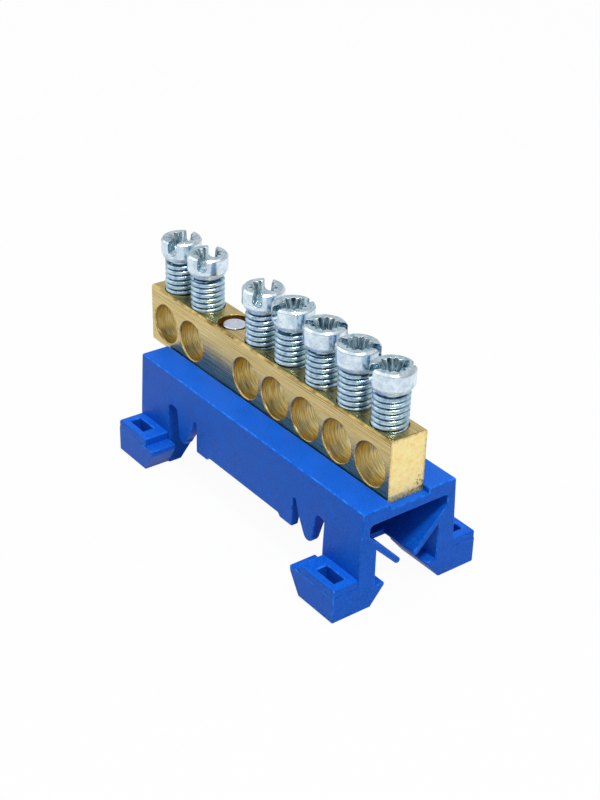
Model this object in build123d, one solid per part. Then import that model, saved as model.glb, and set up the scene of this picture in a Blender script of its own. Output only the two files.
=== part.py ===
from build123d import *
import math
import os

# Rail mounted terminal bar: a drilled brass bar with clamp screws, riveted on a moulded base.
# Millimetres. X runs along the bar, Z is up. The origin is the middle of the moulded base,
# on the plane of its four soles.

# Moulded base, overall
base_length = 52.6
base_height = 15.0
plate_thickness = 2.15
top_half_width = 7.75
wall_half_width = 7.87
leg_half_width = 8.1
draft_height = 8.0
top_edge_radius = 0.35

# Groove that seats the bar
groove_depth = 0.8
groove_clearance = 0.15

# Channel under the plate, closed below by a trough with sloping sides
channel_half_width = 6.5
channel_corner_radius = 0.6
channel_side_height = 1.65
trough_underside = 5.15
trough_thickness = 0.89
trough_floor_half_width = 1.35
tongue_length = 6.2
tongue_gap = 2.3

# Side walls below the plate
wall_thickness = 1.1
wall_root_thickness = 2.0
window_root_height = 9.55

# Skirt in the middle of each side wall
skirt_half_length = 11.6
skirt_height = 5.7
lip_height = 5.2
lip_length = 2.7
lip_ramp = 0.5

# Spring fingers beside the skirt
finger_tip_height = 4.92
finger_tip_radius = 1.05
finger_tip_station = 15.15
finger_root_station = 12.45
finger_bow = 0.22
finger_outer_root = 16.75
window_arch_rise = 0.49

# Legs and their inner hooks
leg_station = 18.7
leg_thickness = 2.85
leg_hook_reach = 1.6
leg_hook_height = 3.1
leg_hook_edge = 0.4
leg_sole_setback = 0.65

# Soles outside the legs, with the rail hooks
sole_outer = 12.15
sole_station = 19.0
sole_block_height = 5.1
sole_step = 0.06
sole_edge_radius = 0.35
rail_hook_height = 3.9
rail_hook_edge = 0.8
rail_hook_reach = 1.95
rail_hook_overlap = 0.05
sole_slot_length = 3.7
sole_slot_width = 1.75
sole_slot_end_margin = 1.4
sole_slot_side_margin = 1.2

# Bar
bar_length = 56.0
bar_width = 6.0
bar_height = 9.2
bar_setback = 1.15
bar_edge_bevel = 0.25
end_hole_margin = 3.85
wire_hole_wall = 0.9
wire_hole_depth = 5.15
wire_hole_bevel = 0.15

# Clamp screws
thread_diameter = 5.0
thread_length = 7.0
thread_clearance = 0.05
tip_bevel = 0.5
head_diameter = 6.0
head_height = 3.15
head_edge_bevel = 0.3
head_taper_height = 0.8
slot_width = 1.36
slot_depth = 1.93
recess_radius = 2.1
recess_inner_radius = 1.6
recess_floor_share = 0.6
recess_depth = 1.7
recess_points = 12

# How far each head stands off the bar, and how its slot is turned, by position from the far end.
# None is where the bar is fixed to the base.
screw_lifts = [5.15, 5.15, None, 5.2, 5.35, 5.2, 5.25, 5.2]
screw_turns = [119, 130, None, 128, 84, 45, 34, 68]

# Fixing rivet
rivet_head_diameter = 3.35
rivet_head_height = 1.6
rivet_sink = 0.2
rivet_shank_diameter = 2.4
rivet_clearance = 0.05
rivet_foot_diameter = 4.2
rivet_foot_height = 1.1

# How far a cut runs past the surface it opens
cut_margin = 1.0

half_length = base_length / 2
groove_floor = base_height - groove_depth
plate_underside = base_height - plate_thickness
trough_shoulder_height = plate_underside - channel_side_height
bar_top = groove_floor + bar_height
bar_end = half_length - bar_setback
bar_middle = bar_end - bar_length / 2
wire_axis_height = bar_top - wire_hole_depth
positions = len(screw_lifts)
fixing_number = screw_lifts.index(None) + 1
pitch = (bar_length - 2 * end_hole_margin) / (positions - 1)
wire_hole_radius = (pitch - wire_hole_wall) / 2


def prism_along_x(face, start, end):
    """Extrudes an outline drawn in (y, z) between two stations along the bar."""
    return extrude(Plane.YZ.offset(start) * face, end - start)


def prism_along_y(face, start, end):
    """Extrudes an outline drawn in (x, z) between two distances across the bar."""
    return extrude(Plane.XZ.offset(-start) * face, end - start, dir=(0, 1, 0))


def outline(*points):
    return make_face(Polyline(*points, close=True))


def on_four_corners(part):
    """Repeats what is made for the +x +y corner on the other three."""
    side = part + mirror(part, Plane.XZ)
    return side + mirror(side, Plane.YZ)


def trough_slope():
    """The angle of the trough's sides to the level."""
    rise = trough_shoulder_height - trough_underside - trough_thickness
    return math.atan2(rise, channel_half_width - trough_floor_half_width)


def trough_outer_half_width():
    return trough_floor_half_width + trough_thickness * math.tan(trough_slope() / 2)


def under_slope_height(y):
    """Height of the trough's sloping underside at a distance from the middle."""
    return trough_underside + (y - trough_outer_half_width()) * math.tan(trough_slope())


def wall_face(height):
    """How far the drafted outer face of a side wall stands from the middle."""
    share = (base_height - height) / draft_height
    return top_half_width + share * (wall_half_width - top_half_width)


def leg_face(height):
    """The same for a leg, which flares out more than the wall."""
    share = (base_height - top_edge_radius - height) / (draft_height - top_edge_radius)
    return top_half_width + share * (leg_half_width - top_half_width)


def outer_section():
    """The base across the bar, before it is hollowed: drafted sides, rounded top edges."""
    full = outline(
        (-wall_half_width, finger_tip_height),
        (wall_half_width, finger_tip_height),
        (wall_half_width, base_height - draft_height),
        (top_half_width, base_height),
        (-top_half_width, base_height),
        (-wall_half_width, base_height - draft_height),
    )
    corners = full.vertices().group_by(Axis.Y)[-1]
    return fillet(corners, top_edge_radius)


def groove_section():
    half = bar_width / 2 + groove_clearance
    return Pos(0, base_height) * Rectangle(2 * half, 2 * groove_depth)


def channel_section():
    """The space between the plate and the trough."""
    floor = trough_underside + trough_thickness
    space = outline(
        (-trough_floor_half_width, floor),
        (trough_floor_half_width, floor),
        (channel_half_width, trough_shoulder_height),
        (channel_half_width, plate_underside),
        (-channel_half_width, plate_underside),
        (-channel_half_width, trough_shoulder_height),
    )
    return fillet(space.vertices().group_by(Axis.Y)[-1], channel_corner_radius)


def under_section():
    """The wedge between the trough's underside and the tapering side wall, for +y."""
    wall_foot = wall_half_width - wall_thickness
    wall_root = wall_half_width - wall_root_thickness
    return outline(
        (0, finger_tip_height),
        (0, trough_underside),
        (trough_outer_half_width(), trough_underside),
        (wall_root, under_slope_height(wall_root)),
        (wall_foot, finger_tip_height),
    )


def shell():
    """The plate, the side walls and the trough, along the whole base."""
    under = under_section()
    section = outer_section() - groove_section() - channel_section()
    section = section - under - mirror(under, Plane.YZ)
    return prism_along_x(section, -half_length, half_length)


def skirt_face():
    """The middle of a side wall, with a lip hanging down at each end, for +x."""
    step = skirt_half_length - lip_length
    return outline(
        (0, skirt_height),
        (step - lip_ramp, skirt_height),
        (step, lip_height),
        (skirt_half_length, lip_height),
        (skirt_half_length, base_height),
        (0, base_height),
    )


def finger_face():
    """A spring finger: bowed inner edge, round tip, leaning outer edge."""
    top = base_height
    inner = finger_tip_station - finger_tip_radius
    outer = finger_tip_station + finger_tip_radius
    tip_centre = finger_tip_height + finger_tip_radius
    middle = ((finger_root_station + inner) / 2 - finger_bow, (window_root_height + tip_centre) / 2)
    edges = [
        Line((finger_outer_root, top), (finger_root_station, top)),
        Line((finger_root_station, top), (finger_root_station, window_root_height)),
        ThreePointArc((finger_root_station, window_root_height), middle, (inner, tip_centre)),
        ThreePointArc((inner, tip_centre), (finger_tip_station, finger_tip_height), (outer, tip_centre)),
        Line((outer, tip_centre), (finger_outer_root, window_root_height)),
        Line((finger_outer_root, window_root_height), (finger_outer_root, top)),
    ]
    return make_face(edges)


def window_face():
    """What is cut from a side wall between the middle and a leg, for +x."""
    low = finger_tip_height - cut_margin
    high = window_root_height
    mouth = outline((0, low), (leg_station, low), (leg_station, high), (0, high))
    gap = leg_station - finger_outer_root
    arch = Pos(finger_outer_root + gap / 2, high) * Ellipse(gap / 2, window_arch_rise)
    notch_middle = (skirt_half_length + finger_root_station) / 2
    notch = Pos(notch_middle, high) * Circle((finger_root_station - skirt_half_length) / 2)
    return mouth - skirt_face() - finger_face() + arch + notch


def windows():
    """The cuts that leave the skirt and the fingers in both side walls."""
    cut = prism_along_y(window_face(), wall_half_width - wall_root_thickness, wall_half_width + cut_margin)
    return on_four_corners(cut)


def leg():
    """A leg at the +x +y corner, with the hook on its inner side."""
    inner = leg_half_width - leg_thickness
    tip = inner - leg_hook_reach
    sole_edge = inner + leg_sole_setback
    root = channel_half_width
    section = outline(
        (leg_half_width, 0),
        (leg_half_width, base_height - draft_height),
        (top_half_width, base_height - top_edge_radius),
        (root, trough_shoulder_height),
        (root, under_slope_height(root)),
        (inner, under_slope_height(inner)),
        (inner, leg_hook_height),
        (tip, leg_hook_height),
        (tip, leg_hook_height - leg_hook_edge),
        (sole_edge, 0),
    )
    return prism_along_x(section, leg_station, half_length)


def leg_blend():
    """Carries a leg's flare gently into the wall over the window, for +x +y."""
    low = window_root_height - window_arch_rise
    high = base_height - top_edge_radius
    top = (leg_station, leg_face(high), high)
    outside = (leg_station, leg_face(low), low)
    ahead = (finger_outer_root, wall_face(low), low)
    inside = (leg_station + window_arch_rise, channel_half_width, low)
    corners = [(top, outside, ahead), (top, ahead, inside), (top, inside, outside), (outside, inside, ahead)]
    return Solid(Shell([make_face(Polyline(*three, close=True)) for three in corners]))


def sole_slot():
    """The long hole through a sole, for a band or a screw."""
    x = half_length - sole_slot_end_margin - sole_slot_length / 2
    y = sole_outer - sole_slot_side_margin - sole_slot_width / 2
    return Pos(x, y, 0) * Box(sole_slot_length, sole_slot_width, 3 * sole_block_height)


def sole_upper_block():
    """The block standing on the sole's rim, its two outer edges rounded."""
    length = half_length - sole_step - sole_station
    width = sole_outer - sole_step - wall_half_width
    lowest_corner = (Align.MIN, Align.MIN, Align.MIN)
    block = Box(length, width, sole_block_height, align=lowest_corner)
    top_edges = block.faces().sort_by(Axis.Z)[-1].edges()
    across = top_edges.filter_by(Axis.Y).sort_by(Axis.X)[-1]
    along = top_edges.filter_by(Axis.X).sort_by(Axis.Y)[-1]
    block = fillet([across, along], sole_edge_radius)
    return Pos(sole_station, wall_half_width, 0) * block


def sole():
    """The block outside a leg, for +x +y: a rim with the rail hook, and a block on it."""
    hook_tip = sole_station - rail_hook_reach
    rim = outline(
        (half_length, 0),
        (half_length, rail_hook_height),
        (hook_tip, rail_hook_height),
        (hook_tip, rail_hook_height - rail_hook_edge),
        (sole_station, 0),
    )
    lower = prism_along_y(rim, leg_half_width - rail_hook_overlap, sole_outer)
    return lower + sole_upper_block() - sole_slot()


def tongue_edge_centre():
    """The middle of a tongue's round lower edge, as y and z."""
    y = (tongue_gap + trough_thickness) / 2
    under = under_slope_height(y)
    over = under + trough_thickness / math.cos(trough_slope())
    return y, (under + over) / 2


def tongue_slot():
    """What parts the trough's floor into two tongues, cut square to the slope, for +x +y."""
    y, z = tongue_edge_centre()
    across = math.sin(trough_slope())
    up = math.cos(trough_slope())
    over = trough_thickness / 2
    under = over + cut_margin
    floor = trough_underside + trough_thickness
    section = outline(
        (0, z - under * up),
        (y + under * across, z - under * up),
        (y - over * across, z + over * up),
        (trough_floor_half_width, floor),
        (0, floor + cut_margin),
    )
    return prism_along_x(section, half_length - tongue_length, half_length)


def tongue_edge():
    """The round that ends a tongue beside the slot, for +x +y."""
    section = Pos(*tongue_edge_centre()) * Circle(trough_thickness / 2)
    return prism_along_x(section, half_length - tongue_length, half_length)


def rivet_hole(radius, bottom, top):
    place = Pos(position_station(fixing_number), 0, (bottom + top) / 2)
    return place * Cylinder(radius, top - bottom)


def moulded_base():
    body = shell() + on_four_corners(leg_blend()) - windows()
    body += on_four_corners(leg() + sole())
    body -= on_four_corners(tongue_slot())
    body += on_four_corners(tongue_edge())
    shank = rivet_shank_diameter / 2 + rivet_clearance
    return body - rivet_hole(shank, plate_underside - cut_margin, base_height)


def position_station(number):
    """Where a position's holes stand along the bar, counted from its far end."""
    return bar_middle + (number - (positions + 1) / 2) * pitch


def wire_hole(number):
    """A cross hole for a wire, with its rims broken."""
    half = bar_width / 2
    rim = wire_hole_radius + wire_hole_bevel
    profile = outline(
        (0, -half),
        (rim, -half),
        (wire_hole_radius, -half + wire_hole_bevel),
        (wire_hole_radius, half - wire_hole_bevel),
        (rim, half),
        (0, half),
    )
    hole = revolve(profile, Axis.Y)
    return Pos(position_station(number), 0, wire_axis_height) * hole


def screw_hole(number):
    radius = thread_diameter / 2 + thread_clearance
    height = bar_top - wire_axis_height
    return Pos(position_station(number), 0, wire_axis_height + height / 2) * Cylinder(radius, height)


def bus_bar():
    body = Pos(bar_middle, 0, groove_floor + bar_height / 2) * Box(bar_length, bar_width, bar_height)
    body = chamfer(body.edges().filter_by(Axis.X), bar_edge_bevel)
    for number in range(1, positions + 1):
        if number != fixing_number:
            body -= wire_hole(number) + screw_hole(number)
    seat = bar_top - rivet_sink - rivet_head_height
    body -= rivet_hole(thread_diameter / 2, seat, bar_top)
    return body - rivet_hole(rivet_shank_diameter / 2 + rivet_clearance, groove_floor, seat)


def fixing_rivet():
    """A flat head standing in the bar's hole, a shank, and the foot formed under the plate."""
    head_top = bar_top - rivet_sink
    head_seat = head_top - rivet_head_height
    shank = rivet_hole(rivet_shank_diameter / 2, plate_underside - rivet_foot_height, head_seat)
    head = rivet_hole(rivet_head_diameter / 2, head_seat, head_top)
    foot = rivet_hole(rivet_foot_diameter / 2, plate_underside - rivet_foot_height, plate_underside)
    return shank + head + foot


def screw_body():
    """The turned blank of a clamp screw, with the head's seat at height 0."""
    core = thread_diameter / 2
    rim = head_diameter / 2
    profile = outline(
        (0, -thread_length),
        (core - tip_bevel, -thread_length),
        (core, -thread_length + tip_bevel),
        (core, 0),
        (rim, head_taper_height),
        (rim, head_height - head_edge_bevel),
        (rim - head_edge_bevel, head_height),
        (0, head_height),
    )
    return revolve(Plane.XZ * profile, Axis.Z)


def star(share, height):
    """The corners of the recess's star, at a share of its full size and at a height."""
    step = math.pi / recess_points
    corners = []
    for turn in range(2 * recess_points):
        radius = share * (recess_radius if turn % 2 == 0 else recess_inner_radius)
        corners.append((radius * math.cos(turn * step), radius * math.sin(turn * step), height))
    return corners


def driver_recess():
    """The tapering star that is pressed into the head, made of flat faces."""
    mouth = star(1, head_height)
    floor = star(recess_floor_share, head_height - recess_depth)
    faces = [outline(*mouth), outline(*floor)]
    for here in range(len(mouth)):
        faces.append(outline(mouth[here - 1], mouth[here], floor[here], floor[here - 1]))
    return Solid(Shell(faces))


def driver_slot():
    """The slot across the head, with a round bottom."""
    bottom = head_height - slot_depth + slot_width / 2
    trench = Pos(0, bottom) * Circle(slot_width / 2)
    height = head_height + cut_margin - bottom
    trench += Pos(0, bottom + height / 2) * Rectangle(slot_width, height)
    return prism_along_x(trench, -head_diameter, head_diameter)


def clamp_screw(number):
    screw = screw_body() - driver_recess() - driver_slot()
    seat = bar_top + screw_lifts[number - 1]
    return Pos(position_station(number), 0, seat) * Rot(0, 0, screw_turns[number - 1]) * screw


os.makedirs("parts", exist_ok=True)
export_step(moulded_base(), "parts/base.step")
export_step(bus_bar(), "parts/bus_bar.step")
export_step(fixing_rivet(), "parts/fixing_rivet.step")
for number in range(1, positions + 1):
    if number != fixing_number:
        export_step(clamp_screw(number), f"parts/clamp_screw_{number}.step")
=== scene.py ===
import math

import bmesh
import bpy
from mathutils import Matrix, Vector


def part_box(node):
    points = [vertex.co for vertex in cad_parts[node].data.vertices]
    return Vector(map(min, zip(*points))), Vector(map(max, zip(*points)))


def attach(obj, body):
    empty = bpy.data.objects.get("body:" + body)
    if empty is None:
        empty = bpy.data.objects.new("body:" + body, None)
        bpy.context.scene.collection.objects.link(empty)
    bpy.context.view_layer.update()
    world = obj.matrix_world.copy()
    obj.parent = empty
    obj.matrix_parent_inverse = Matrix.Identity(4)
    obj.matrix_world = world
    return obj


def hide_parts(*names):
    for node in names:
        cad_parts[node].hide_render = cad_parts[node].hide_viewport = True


# Looks of the rail mounted terminal bar. Metres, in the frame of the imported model.

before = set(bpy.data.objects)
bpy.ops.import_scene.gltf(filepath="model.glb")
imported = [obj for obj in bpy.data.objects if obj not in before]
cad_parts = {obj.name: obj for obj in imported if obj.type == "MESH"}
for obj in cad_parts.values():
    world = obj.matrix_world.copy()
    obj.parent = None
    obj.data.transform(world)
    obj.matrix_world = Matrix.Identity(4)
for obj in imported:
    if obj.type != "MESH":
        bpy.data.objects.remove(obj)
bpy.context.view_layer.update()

MM = 0.001
bar_low, bar_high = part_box("bus_bar")
bar_top = bar_high.z
base_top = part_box("base")[1].z
screw_numbers = (1, 2, 4, 5, 6, 7, 8)

# Clamp screws: the heads are the CAD's, the threads are wound here
head_height = 3.15 * MM
head_radius = 3.0 * MM
thread_radius = 2.5 * MM
thread_depth = 0.42 * MM
thread_pitch = 0.8 * MM
thread_steps = 56
neck_radius = 2.15 * MM
neck_height = 0.35 * MM
under_head_radius = 2.47 * MM
tip_bevel = 0.5 * MM

# One pitch of the thread's section: how far along the pitch, and how high of the thread's depth
thread_profile = (
    (0.0, 0.0), (0.05, 0.0), (0.15, 0.62), (0.28, 0.92), (0.44, 1.0),
    (0.62, 0.98), (0.79, 0.78), (0.93, 0.3), (1.0, 0.0),
)

# How wide each piece's edges are rounded, and how many widths of room an edge needs for it
base_rounding = 0.16 * MM
bar_rounding = 0.06 * MM
rivet_rounding = 0.12 * MM
head_rounding = 0.045 * MM
room_share = 2.4

# Angles in degrees: faces that are flat together, edges that run on, and smooth and sharp edges
flat_angle = 0.6
arc_angle = 25.0
smooth_angle = 30.0
sharp_angle = 28.0
screw_smooth_angle = 40.0
head_sharp_angle = 35.0

# Distances under which points are one
facet_weld = 2e-6
thread_weld = 1.5e-6
sliver = 1e-6


def mesh_object(name, bm):
    mesh = bpy.data.meshes.new(name)
    bm.to_mesh(mesh)
    bm.free()
    thing = bpy.data.objects.new(name, mesh)
    bpy.context.scene.collection.objects.link(thing)
    return thing


def welded(node):
    """A copy of a CAD node's mesh, its facets joined along their edges."""
    bm = bmesh.new()
    bm.from_mesh(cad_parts[node].data)
    bmesh.ops.remove_doubles(bm, verts=bm.verts, dist=facet_weld)
    return bm


def join_flat_faces(bm):
    """Makes whole faces of the facets that lie in one plane."""
    bmesh.ops.dissolve_limit(bm, angle_limit=math.radians(flat_angle), verts=bm.verts, edges=bm.edges)


def shade(thing, angle):
    """Smooth shading between faces that meet at less than the angle."""
    mesh = thing.data
    for polygon in mesh.polygons:
        polygon.use_smooth = True
    limit = math.cos(math.radians(angle))
    bm = bmesh.new()
    bm.from_mesh(mesh)
    for edge in bm.edges:
        if len(edge.link_faces) == 2:
            first, second = edge.link_faces
            edge.smooth = first.normal.dot(second.normal) > limit
    bm.to_mesh(mesh)
    bm.free()


def direction(edge):
    return (edge.verts[1].co - edge.verts[0].co).normalized()


def depth_of_face(edge, face):
    """How far a face reaches from one of its edges."""
    inward = face.normal.cross(direction(edge))
    return max(abs((corner.co - edge.verts[0].co).dot(inward)) for corner in face.verts)


def in_line(first, second):
    return abs(direction(first).dot(direction(second))) > math.cos(math.radians(arc_angle))


def room_beside(edge, sharp):
    """The least depth of the faces beside an edge, and length of the sharp edges it turns into."""
    depths = [depth_of_face(edge, face) for face in edge.link_faces]
    runs_on = []
    for end in edge.verts:
        others = [near for near in end.link_edges if near is not edge]
        runs_on.append(any(near in sharp and in_line(near, edge) for near in others))
        depths += [near.calc_length() for near in others if near in sharp and not in_line(near, edge)]
    return min(depths) if all(runs_on) else min(*depths, edge.calc_length())


def weigh_edges(thing, width, angle):
    """Marks the outer edges to round: those with room enough for the width."""
    bm = bmesh.new()
    bm.from_mesh(thing.data)
    weight = bm.edges.layers.float.new("bevel_weight_edge")
    limit = math.radians(angle)
    sharp = {edge for edge in bm.edges if len(edge.link_faces) == 2 and edge.calc_face_angle() > limit}
    for edge in sharp:
        if edge.is_convex and room_beside(edge, sharp) > room_share * width:
            edge[weight] = 1.0
    bm.to_mesh(thing.data)
    bm.free()


def soften(thing, width, angle, edge_index):
    """Rounds a piece's edges a little, with true geometry. Index -1 keeps the faces' own material."""
    weigh_edges(thing, width, angle)
    bevel = thing.modifiers.new("soft_edges", "BEVEL")
    bevel.width = width
    bevel.segments = 2
    bevel.material = edge_index
    bevel.limit_method = "WEIGHT"
    bevel.use_clamp_overlap = False
    flat = thing.modifiers.new("flat_faces", "WEIGHTED_NORMAL")
    flat.mode = "FACE_AREA"
    flat.keep_sharp = True


# Materials


class Nodes:
    """A few short words for building the nodes of a material or of the world."""

    def __init__(self, block, shader):
        block.use_nodes = True
        self.block = block
        self.tree = block.node_tree
        self.shader = self.tree.nodes[shader]

    def link(self, source, target):
        self.tree.links.new(source, target)

    def fill(self, node, **inputs):
        """Sets a node's inputs to values, or joins them to other nodes' outputs."""
        for name, value in inputs.items():
            socket = node.inputs[name.replace("_", " ")]
            if isinstance(value, bpy.types.NodeSocket):
                self.link(value, socket)
            else:
                socket.default_value = value

    def set(self, **inputs):
        self.fill(self.shader, **inputs)

    def add(self, kind, **inputs):
        node = self.tree.nodes.new(kind)
        self.fill(node, **inputs)
        return node

    def place(self, scale=(1, 1, 1)):
        """The place on the object, stretched by the scale."""
        coordinates = self.add("ShaderNodeTexCoord").outputs["Object"]
        return self.add("ShaderNodeMapping", Vector=coordinates, Scale=scale).outputs["Vector"]

    def noise(self, vector, scale, detail=3.0, roughness=0.55):
        noise = self.add("ShaderNodeTexNoise", Vector=vector, Scale=scale, Detail=detail, Roughness=roughness)
        return noise.outputs["Fac"]

    def ramp(self, value, *stops):
        ramp = self.add("ShaderNodeValToRGB", Fac=value)
        elements = ramp.color_ramp.elements
        while len(elements) < len(stops):
            elements.new(0.5)
        for element, (position, colour) in zip(elements, stops):
            element.position = position
            element.color = colour
        return ramp.outputs["Color"]

    def mix(self, factor, first, second):
        mix = self.tree.nodes.new("ShaderNodeMix")
        mix.data_type = "RGBA"
        self.fill(mix, Factor=factor, A=first, B=second)
        return mix.outputs["Result"]

    def to_range(self, value, low, high, new_low, new_high):
        ends = {"From_Min": low, "From_Max": high, "To_Min": new_low, "To_Max": new_high}
        return self.add("ShaderNodeMapRange", Value=value, **ends).outputs["Result"]

    def within(self, axis, none, full):
        """1 where a place along an axis is past full, fading to 0 at none."""
        parts = self.add("ShaderNodeSeparateXYZ", Vector=self.place())
        return self.to_range(parts.outputs[axis], none, full, 0.0, 1.0)

    def calculate(self, operation, result, *others):
        """The operation on the first two values, then on what comes out and the next, and so on."""
        for other in others:
            node = self.tree.nodes.new("ShaderNodeMath")
            node.operation = operation
            self.link(result, node.inputs[0])
            self.link(other, node.inputs[1])
            result = node.outputs[0]
        return result

    def seen_straight(self, rays):
        """1 for what the camera sees, by itself or through glass."""
        return self.calculate("MAXIMUM", rays["Is Camera Ray"], rays["Is Transmission Ray"])

    def bump(self, height, strength, distance):
        bump = self.add("ShaderNodeBump", Height=height, Strength=strength, Distance=distance)
        self.set(Normal=bump.outputs["Normal"])


def material_nodes(name):
    return Nodes(bpy.data.materials.new(name), "Principled BSDF")


def grey(value):
    return (value, value, value, 1.0)


def srgb(*parts):
    """A colour written as 0 to 255 on a screen, as the shader's linear values."""
    linear = [((c / 255 + 0.055) / 1.055) ** 2.4 if c > 10 else c / 255 / 12.92 for c in parts]
    return (*linear, 1.0)


plastic_gloss = {"IOR": 1.46, "Specular_IOR_Level": 0.2, "Specular_Tint": (0.3, 0.65, 1.0, 1.0)}


def blue_plastic():
    """Moulded plastic: a fine grain over faint clouds."""
    n = material_nodes("blue_plastic")
    place = n.place()
    grain = n.noise(place, 5000.0, 2.0)
    clouds = n.noise(place, 260.0, 3.0)
    tone = n.ramp(clouds, (0.3, srgb(4, 74, 178)), (0.7, srgb(8, 86, 198)))
    speckle = n.to_range(grain, 0.36, 0.66, 0.0, 0.5)
    n.set(Base_Color=n.mix(speckle, tone, srgb(34, 116, 232)))
    n.set(Roughness=n.to_range(clouds, 0.3, 0.7, 0.38, 0.48), **plastic_gloss)
    n.bump(grain, 0.3, 0.06 * MM)
    return n.block


def painted_highlight_plastic():
    """The base's edges, with a paler painted highlight here and there."""
    n = material_nodes("blue_plastic_edge")
    edge_patches = n.noise(n.place(), 1500.0, 3.0)
    n.set(Base_Color=n.ramp(edge_patches, (0.4, srgb(10, 88, 202)), (0.66, srgb(42, 122, 234))))
    n.set(Roughness=0.42, **plastic_gloss)
    return n.block


def brass_side():
    """Drawn brass: lines along the bar, browned streaks beside its top edges."""
    strip_inner, strip_outer = 2.1 * MM, 2.7 * MM
    strip_foot, strip_head = bar_top - 1.7 * MM, bar_top - 0.5 * MM
    n = material_nodes("brass_drawn")
    long_lines = n.noise(n.place((18, 900, 900)), 9.0, 5.0, 0.65)
    fine_lines = n.noise(n.place((30, 2200, 2200)), 11.0, 3.0)
    patches = n.noise(n.place((90, 120, 120)), 2.0, 3.0)
    dark, middle, light = srgb(160, 134, 78), srgb(200, 178, 116), srgb(230, 214, 160)
    tone = n.ramp(long_lines, (0.26, dark), (0.46, middle), (0.7, light))
    tone = n.mix(n.to_range(patches, 0.4, 0.7, 0.0, 0.3), tone, srgb(204, 180, 116))
    streaks = n.to_range(n.noise(n.place((14, 1500, 1500)), 4.0, 3.0), 0.53, 0.62, 0.0, 0.7)
    near_strip = n.within("Y", -strip_inner, -strip_outer)
    far_strip = n.within("Y", strip_inner, strip_outer)
    strips = n.calculate("MAXIMUM", near_strip, far_strip)
    browned = n.calculate("MULTIPLY", streaks, strips, n.within("Z", strip_foot, strip_head))
    n.set(Base_Color=n.mix(browned, tone, srgb(112, 80, 36)))
    n.set(Metallic=1.0, Roughness=n.to_range(long_lines, 0.3, 0.7, 0.2, 0.36))
    n.bump(fine_lines, 0.25, 0.02 * MM)
    return n.block


def brass_end():
    """Sawn brass: paler and mottled, spotted in the lower far corner, stained along its edges."""
    n = material_nodes("brass_sawn")
    place = n.place()
    specks = n.noise(place, 3600.0, 4.0, 0.7)
    clouds = n.noise(place, 1100.0, 4.0)
    tone = n.ramp(clouds, (0.34, srgb(253, 226, 154)), (0.62, srgb(255, 240, 176)))
    tone = n.mix(n.to_range(specks, 0.58, 0.72, 0.0, 0.55), tone, srgb(170, 130, 60))
    spots = n.to_range(n.noise(place, 2300.0, 2.0), 0.56, 0.62, 0.0, 0.8)
    low_part = n.within("Z", bar_low.z + 4 * MM, bar_low.z + MM)
    far_part = n.within("Y", 0.0, 2 * MM)
    tone = n.mix(n.calculate("MULTIPLY", spots, low_part, far_part), tone, srgb(104, 80, 36))
    stains = n.to_range(n.noise(place, 2600.0, 3.0, 0.7), 0.38, 0.62, 0.1, 0.6)
    rim_top = n.within("Z", bar_top - 0.45 * MM, bar_top - 0.1 * MM)
    rim_foot = n.within("Z", bar_low.z + 1.15 * MM, bar_low.z + 0.8 * MM)
    rim_far = n.within("Y", 2.5 * MM, 2.95 * MM)
    rim_near = n.within("Y", -2.6 * MM, -2.95 * MM)
    rim = n.calculate("MAXIMUM", rim_top, rim_foot, rim_far, rim_near)
    n.set(Base_Color=n.mix(n.calculate("MULTIPLY", stains, rim), tone, srgb(96, 72, 30)))
    n.set(Metallic=0.85, Roughness=0.52)
    n.bump(specks, 0.3, 0.04 * MM)
    return n.block


def brass_bore():
    """The walls of the wire holes: bright, with the rings of a drill; the lightest bands are a painted
    highlight.
    """
    n = material_nodes("brass_bored")
    rings = n.noise(n.place((160, 2600, 160)), 3.0, 4.0, 0.6)
    clouds = n.noise(n.place(), 500.0, 3.0)
    dark, middle, light = srgb(176, 148, 74), srgb(242, 218, 140), srgb(255, 254, 220)
    tone = n.ramp(rings, (0.36, dark), (0.52, middle), (0.64, light))
    n.set(Base_Color=n.mix(n.to_range(clouds, 0.3, 0.7, 0.0, 0.3), tone, srgb(198, 166, 90)))
    n.set(Metallic=1.0, Roughness=n.to_range(rings, 0.3, 0.7, 0.26, 0.42))
    n.bump(rings, 0.5, 0.05 * MM)
    return n.block


def brass_tapped():
    """The walls of the upright holes: darker as painted shade, with the rings of a thread."""
    n = material_nodes("brass_tapped")
    rings = n.noise(n.place((120, 120, 2400)), 2.0, 3.0)
    n.set(Base_Color=n.ramp(rings, (0.4, srgb(112, 90, 32)), (0.6, srgb(220, 190, 100))))
    n.set(Metallic=1.0, Roughness=0.4)
    n.bump(rings, 0.5, 0.06 * MM)
    return n.block


def zinc(name, dark, light, smoothest, roughest, stretch=(1, 1, 1)):
    """Bright zinc plating: blots, a fine grain and small dark pits."""
    n = material_nodes(name)
    place = n.place()
    blots = n.noise(n.place(stretch), 1500.0, 4.0, 0.65)
    grain = n.noise(place, 5200.0, 3.0)
    pits = n.noise(place, 2600.0, 2.0)
    plate = n.ramp(blots, (0.34, dark), (0.62, light))
    n.set(Base_Color=n.mix(n.to_range(pits, 0.68, 0.74, 0.0, 0.6), plate, srgb(96, 104, 100)))
    n.set(Metallic=1.0, Roughness=n.to_range(blots, 0.3, 0.7, smoothest, roughest))
    n.bump(grain, 0.22, 0.03 * MM)
    return n.block


def rubbed_and_shaded_edge(name, dark, light, roughness):
    """The rubbed edges of a metal piece, light and dark by turns, toned darker as painted shade along the
    edge.
    """
    n = material_nodes(name)
    edge_patches = n.noise(n.place((0.5, 1, 1)), 900.0, 4.0, 0.65)
    n.set(Base_Color=n.ramp(edge_patches, (0.36, dark), (0.6, light)), Metallic=1.0, Roughness=roughness)
    return n.block


plastic = blue_plastic()
# Paler material on the base's edges: a painted highlight
plastic_edge_highlight = painted_highlight_plastic()
base_looks = (plastic, plastic_edge_highlight)

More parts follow.
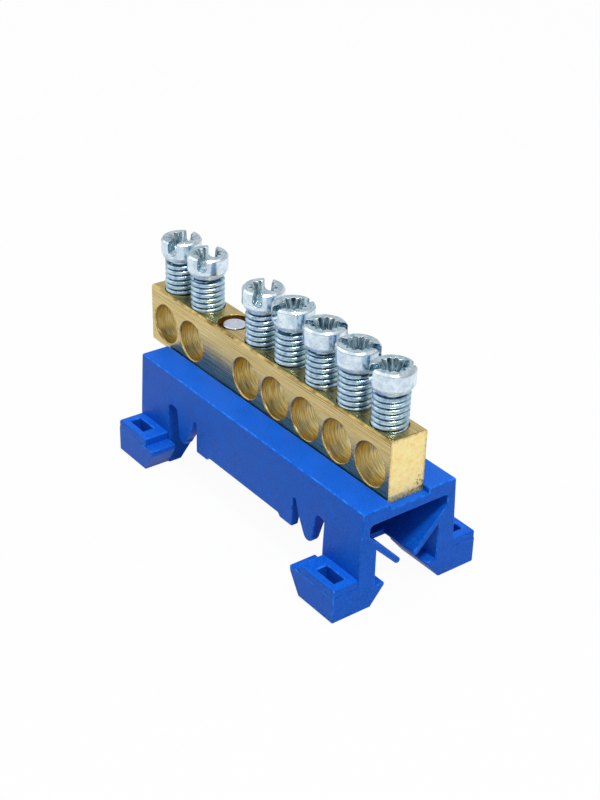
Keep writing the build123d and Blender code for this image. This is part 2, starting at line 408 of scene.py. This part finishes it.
drawn = brass_side()
sawn = brass_end()
bored = brass_bore()
tapped = brass_tapped()
# The bar's rounded edges: rubs light and dark by turns, over a darker painted shade line along the edge
brass_edge_rubs_and_shade = rubbed_and_shaded_edge("brass_edge_rubs_and_shade", srgb(122, 98, 48), srgb(212, 188, 120), 0.46)
bar_looks = (drawn, sawn, bored, tapped, brass_edge_rubs_and_shade)

# Copies of one zinc plating, each toned for how light falls on its faces: the sides painted lightest, the
# tops a little darker and bluer, the recess darkest as painted shade, the underside rougher
zinc_side = zinc("zinc_side", srgb(184, 206, 222), srgb(228, 242, 252), 0.14, 0.24, (0.6, 0.6, 0.6))
zinc_top = zinc("zinc_top", srgb(158, 192, 210), srgb(216, 236, 246), 0.16, 0.26)
zinc_recess_painted_shade = zinc("zinc_recess_painted_shade", srgb(84, 112, 128), srgb(200, 222, 232), 0.14, 0.24, (1, 1, 0.4))
# The heads' rounded edges: rubs, and a darker painted shade that dulls the rim's line
zinc_edge_rubs_and_shade = rubbed_and_shaded_edge("zinc_edge_rubs_and_shade", srgb(120, 120, 112), srgb(216, 222, 226), 0.36)
zinc_under = zinc("zinc_under", srgb(176, 198, 214), srgb(222, 236, 246), 0.5, 0.6)
head_looks = (zinc_side, zinc_top, zinc_recess_painted_shade, zinc_edge_rubs_and_shade, zinc_under)

# The thread's crests, and the darker zinc that paints shade deep in its grooves and under the head
zinc_thread = zinc("zinc_thread", srgb(140, 174, 196), srgb(198, 222, 238), 0.24, 0.34)
zinc_groove_painted_shade = zinc("zinc_groove_painted_shade", srgb(66, 92, 108), srgb(124, 154, 170), 0.3, 0.42)
thread_looks = (zinc_thread, zinc_groove_painted_shade)

zinc_rivet = zinc("zinc_rivet", srgb(206, 214, 232), srgb(226, 232, 246), 0.26, 0.34, (0.3, 0.3, 0.3))


# Pieces


def dress(piece, looks, angle):
    for look in looks:
        piece.data.materials.append(look)
    shade(piece, angle)


def refined(node, name, body, looks, rounding, edge_index=-1):
    """A copy of a CAD node with softly rounded edges, which stands for it."""
    bm = welded(node)
    join_flat_faces(bm)
    piece = mesh_object(name, bm)
    dress(piece, looks, smooth_angle)
    soften(piece, rounding, sharp_angle, edge_index)
    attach(piece, body)
    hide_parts(node)
    return piece


def moulded_base():
    """The base, with a paler painted highlight on its upper edges."""
    edge_depth = 0.5 * MM
    least_tilt, most_tilt = 0.45, 0.9
    edge = base_looks.index(plastic_edge_highlight)
    base = refined("base", "moulded_base", "bar_and_base", base_looks, base_rounding, edge)
    # Painted highlight: the rounded faces along the top take the paler edge material
    for polygon in base.data.polygons:
        near_top = polygon.center.z > base_top - edge_depth
        if near_top and least_tilt < polygon.normal.z < most_tilt:
            polygon.material_index = edge


def bar_look(centre, normal):
    """The look of a face of the bar: a sawn end, a hole's wall, an edge with rubs and painted shade, or a
    drawn side.
    """
    height_slack = 0.4 * MM
    width_slack = 0.1 * MM
    upright_hole_depth = 1.9 * MM
    along, tilted = 0.5, 0.3
    inside_height = bar_low.z + height_slack < centre.z < bar_high.z - height_slack
    inside_width = bar_low.y + width_slack < centre.y < bar_high.y - width_slack
    at_end = min(abs(centre.x - bar_low.x), abs(centre.x - bar_high.x)) < width_slack
    if at_end and abs(normal.x) > along:
        return sawn
    if inside_height and inside_width:
        return tapped if centre.z > bar_top - upright_hole_depth else bored
    # Rounded faces along the top edges: rubs and painted shade
    if abs(normal.y) > tilted and normal.z > tilted:
        return brass_edge_rubs_and_shade
    return drawn


def drilled_bar():
    edge = bar_looks.index(brass_edge_rubs_and_shade)
    bar = refined("bus_bar", "drilled_bar", "bar_and_base", bar_looks, bar_rounding, edge)
    for polygon in bar.data.polygons:
        polygon.material_index = bar_looks.index(bar_look(polygon.center, polygon.normal))


def screw_axis(node):
    low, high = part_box(node)
    return (low.x + high.x) / 2, (low.y + high.y) / 2, low.z, high.z


def head_look(face, x, y, top):
    """The look of a face of a head: its side, top or recess, or what faces down, each toned for how light
    falls on it, with painted shade in the recess.
    """
    side_share = 0.85
    slack = 0.05 * MM
    level, steep, downward = 0.9, 0.5, -0.1
    centre = face.calc_center_median()
    outward = face.normal.x * (centre.x - x) + face.normal.y * (centre.y - y)
    on_rim = math.hypot(centre.x - x, centre.y - y) > side_share * head_radius
    if face.normal.z > level and centre.z > top - slack:
        return zinc_top
    if not (on_rim and outward > 0):
        # Painted shade: the recess takes the darkest zinc
        return zinc_recess_painted_shade if face.normal.z < steep else zinc_top
    return zinc_under if face.normal.z < downward else zinc_side


def head_mesh(node, x, y, seat, top):
    """The head of a CAD screw: everything of it above its seat."""
    slack = 0.02 * MM
    bm = welded(node)
    below = [v for v in bm.verts if v.co.z < seat - slack]
    bmesh.ops.delete(bm, geom=below, context="VERTS")
    join_flat_faces(bm)
    for face in bm.faces:
        face.material_index = head_looks.index(head_look(face, x, y, top))
    return bm


def shank_radius(height, seat, tip):
    """The largest radius that the thread can have at a height: less at the tip and in the neck."""
    if height > seat - neck_height:
        return neck_radius
    return min(thread_radius, thread_radius - tip_bevel + (height - tip))


def thread_row(x, y, seat, tip, start, angle):
    """The points of the thread's section at one angle, for a pitch that begins at a height."""
    points = []
    for share, rise in thread_profile:
        z = min(max(start + thread_pitch * share, tip), seat)
        r = min(thread_radius - (1 - rise) * thread_depth, shank_radius(z, seat, tip))
        points.append((x + r * math.cos(angle), y + r * math.sin(angle), z))
    return points


def thread_mesh(x, y, seat, tip, first_angle):
    """A helical thread from the tip to the seat, closed at the tip and under the head."""
    bm = bmesh.new()
    spare_turns = 3
    turns = int((seat - tip) / thread_pitch) + spare_turns
    lowest = tip - spare_turns / 2 * thread_pitch
    rows = []
    for step in range(turns * thread_steps + 1):
        start = lowest + thread_pitch * step / thread_steps
        angle = 2 * math.pi * step / thread_steps + first_angle
        rows.append([bm.verts.new(point) for point in thread_row(x, y, seat, tip, start, angle)])
    crest, groove = thread_looks.index(zinc_thread), thread_looks.index(zinc_groove_painted_shade)
    for first, second in zip(rows, rows[1:]):
        for k, ((_, rise), (_, next_rise)) in enumerate(zip(thread_profile, thread_profile[1:])):
            face = bm.faces.new((first[k], second[k], second[k + 1], first[k + 1]))
            # Painted shade: faces deep in the groove take the darker zinc
            in_lower_half = rise + next_rise < 1.0
            face.material_index = groove if in_lower_half else crest
    bmesh.ops.remove_doubles(bm, verts=bm.verts, dist=thread_weld)
    bmesh.ops.dissolve_degenerate(bm, dist=sliver, edges=bm.edges)
    open_low = [e for e in bm.edges if e.is_boundary and all(v.co.z < tip + sliver for v in e.verts)]
    if open_low:
        bmesh.ops.contextual_create(bm, geom=open_low)
    at_seat = Matrix.Translation((x, y, seat))
    under_head = bmesh.ops.create_circle(
        bm, cap_ends=True, radius=under_head_radius, segments=thread_steps, matrix=at_seat,
    )
    # Painted shade: the disc under the head takes the darker zinc
    for face in {f for v in under_head["verts"] for f in v.link_faces}:
        face.material_index = groove
    return bm


def clamp_screw(number):
    """A head and a thread that ride on the screw's body. The head stands for the CAD node."""
    angle_step = 1.7
    node = f"clamp_screw_{number}"
    x, y, tip, top = screw_axis(node)
    seat = top - head_height
    head = mesh_object(f"screw_{number}", head_mesh(node, x, y, seat, top))
    shank = mesh_object(f"screw_thread_{number}", thread_mesh(x, y, seat, tip, angle_step * number))
    for piece, looks in ((head, head_looks), (shank, thread_looks)):
        dress(piece, looks, screw_smooth_angle)
        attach(piece, node)
    soften(head, head_rounding, head_sharp_angle, head_looks.index(zinc_edge_rubs_and_shade))
    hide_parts(node)


moulded_base()
drilled_bar()
refined("fixing_rivet", "rivet", "bar_and_base", (zinc_rivet,), rivet_rounding)
for number in screw_numbers:
    clamp_screw(number)


# Floor, light and camera


def pale_floor():
    """Nearly white for the camera, mirrors and glass, with the object's shadow on it."""
    seen_directly = 0.96
    seen_mirrored = 0.86
    n = material_nodes("pale_floor")
    n.set(Base_Color=n.ramp(n.noise(n.place(), 40.0), (0.0, grey(0.56)), (1.0, grey(0.6))), Roughness=0.9)
    rays = n.add("ShaderNodeLightPath").outputs
    mirrored = n.to_range(rays["Is Glossy Ray"], 0.0, 1.0, 0.0, seen_mirrored)
    direct = n.to_range(n.seen_straight(rays), 0.0, 1.0, 0.0, seen_directly)
    glow = n.add("ShaderNodeEmission")
    joined = n.add("ShaderNodeMixShader", Fac=n.calculate("MAXIMUM", mirrored, direct))
    n.link(n.shader.outputs["BSDF"], joined.inputs[1])
    n.link(glow.outputs["Emission"], joined.inputs[2])
    n.link(joined.outputs["Shader"], n.tree.nodes["Material Output"].inputs["Surface"])
    return n.block


def studio_world():
    """White for the camera, a soft light that is weaker from low down, and a pale room in mirrors."""
    n = Nodes(bpy.data.worlds.new("studio"), "Background")
    rays = n.add("ShaderNodeLightPath").outputs
    sky = n.add("ShaderNodeTexCoord").outputs["Generated"]
    height = n.add("ShaderNodeSeparateXYZ", Vector=sky).outputs["Z"]
    room = n.to_range(height, 0.2, 0.8, 0.7, 0.6)
    ambient = n.to_range(height, 0.0, 0.7, 0.2, 0.62)
    lit = n.add("ShaderNodeMix", Factor=rays["Is Glossy Ray"], A=ambient, B=room).outputs["Result"]
    seen = n.add("ShaderNodeMix", Factor=n.seen_straight(rays), A=lit, B=1.0).outputs["Result"]
    n.set(Color=grey(1.0), Strength=seen)
    return n.block


def soft_lamp(name, place, size, power):
    """A square lamp aimed at the middle of the object."""
    aim = Vector((0, 0, 0.01))
    lamp = bpy.data.lights.new(name, "AREA")
    lamp.size = size
    lamp.energy = power
    thing = bpy.data.objects.new(name, lamp)
    thing.location = place
    thing.rotation_mode = "QUATERNION"
    thing.rotation_quaternion = (aim - Vector(place)).to_track_quat("-Z", "Y")
    bpy.context.scene.collection.objects.link(thing)


def photo_camera():
    """A camera where the photograph was taken from."""
    place = Vector((140.226, -106.074, 115.877)) * MM
    yaw = math.radians(52.572)
    pitch = math.radians(-29.457)
    roll = math.radians(1.476)
    focal_pixels = 1452.812
    image_width, image_height = 600, 800
    principal = (295.826, 401.527)

    flat = Vector((-math.sin(yaw), math.cos(yaw), 0))
    forward = math.cos(pitch) * flat + math.sin(pitch) * Vector((0, 0, 1))
    level = Vector((math.cos(yaw), math.sin(yaw), 0))
    upward = level.cross(forward)
    right = math.cos(roll) * level + math.sin(roll) * upward
    up = -math.sin(roll) * level + math.cos(roll) * upward

    lens = bpy.data.cameras.new("photo_camera")
    lens.sensor_width = 36.0
    lens.lens = focal_pixels / image_height * lens.sensor_width
    lens.shift_x = (image_width / 2 - principal[0]) / image_height
    lens.shift_y = (principal[1] - image_height / 2) / image_height
    lens.clip_start = 0.01
    lens.clip_end = 10.0
    camera = bpy.data.objects.new("photo_camera", lens)
    camera.matrix_world = Matrix((
        (right.x, up.x, -forward.x, place.x),
        (right.y, up.y, -forward.y, place.y),
        (right.z, up.z, -forward.z, place.z),
        (0, 0, 0, 1),
    ))
    bpy.context.scene.collection.objects.link(camera)
    return camera


floor_reach = 1.2
floor_mesh = bmesh.new()
bmesh.ops.create_grid(floor_mesh, x_segments=1, y_segments=1, size=floor_reach)
floor = mesh_object("floor", floor_mesh)
floor.location.z = -0.02 * MM
floor.data.materials.append(pale_floor())

soft_lamp("key", (0.18, -0.03, 0.49), 0.08, 1.5)
soft_lamp("left", (-0.35, -0.24, 0.26), 0.35, 0.25)
soft_lamp("overhead", (-0.05, 0.0, 0.5), 0.8, 1.1)

bpy.context.scene.world = studio_world()
bpy.context.scene.camera = photo_camera()
bpy.context.scene.view_settings.view_transform = "Standard"
